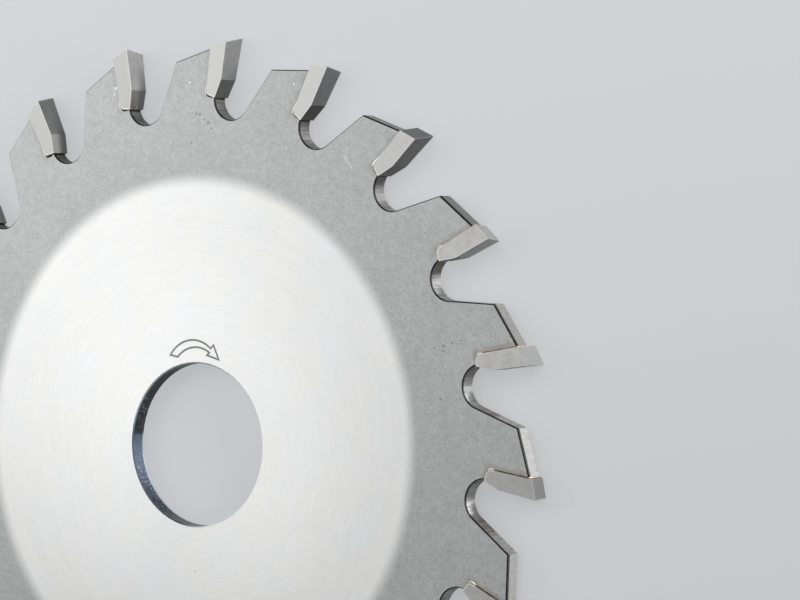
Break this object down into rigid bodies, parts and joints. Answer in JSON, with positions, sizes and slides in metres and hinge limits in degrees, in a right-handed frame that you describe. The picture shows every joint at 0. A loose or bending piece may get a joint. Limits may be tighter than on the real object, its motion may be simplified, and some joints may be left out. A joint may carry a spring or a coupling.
{
  "type": "scoring saw blade",
  "caption": "Small round scoring saw blade: flat steel plate with a plain bore, round gullets and carbide tips brazed into its rim, for pre-cutting board surfaces.",
  "frame": {"origin": "centre of the bore, half way through the plate", "axes": "+Z along the bore towards the face with the rotation arrow; +Y through the cutting corner of tip_01; the blade cuts clockwise as seen from +Z"},
  "size_m": [0.1, 0.1, 0.0032],
  "materials": {
    "plate_steel": "fine blasted outer zone, bright turned and ground hub, cut gullet walls",
    "carbide": "fine ground sintered tungsten carbide, satin grey",
    "braze": "thin silver-copper braze, coppery and partly tarnished"
  },
  "bodies": {
    "root": {"blade_body": "plate_steel", "tip_01": "carbide", "tip_02": "carbide", "tip_03": "carbide", "tip_04": "carbide", "tip_05": "carbide", "tip_06": "carbide", "tip_07": "carbide", "tip_08": "carbide", "tip_09": "carbide", "tip_10": "carbide", "tip_11": "carbide", "tip_12": "carbide", "tip_13": "carbide", "tip_14": "carbide", "tip_15": "carbide", "tip_16": "carbide", "tip_17": "carbide", "tip_18": "carbide", "tip_19": "carbide", "tip_20": "carbide", "braze_01": "braze", "braze_02": "braze", "braze_03": "braze", "braze_04": "braze", "braze_05": "braze", "braze_06": "braze", "braze_07": "braze", "braze_08": "braze", "braze_09": "braze", "braze_10": "braze", "braze_11": "braze", "braze_12": "braze", "braze_13": "braze", "braze_14": "braze", "braze_15": "braze", "braze_16": "braze", "braze_17": "braze", "braze_18": "braze", "braze_19": "braze", "braze_20": "braze"}
  },
  "joints": []
}
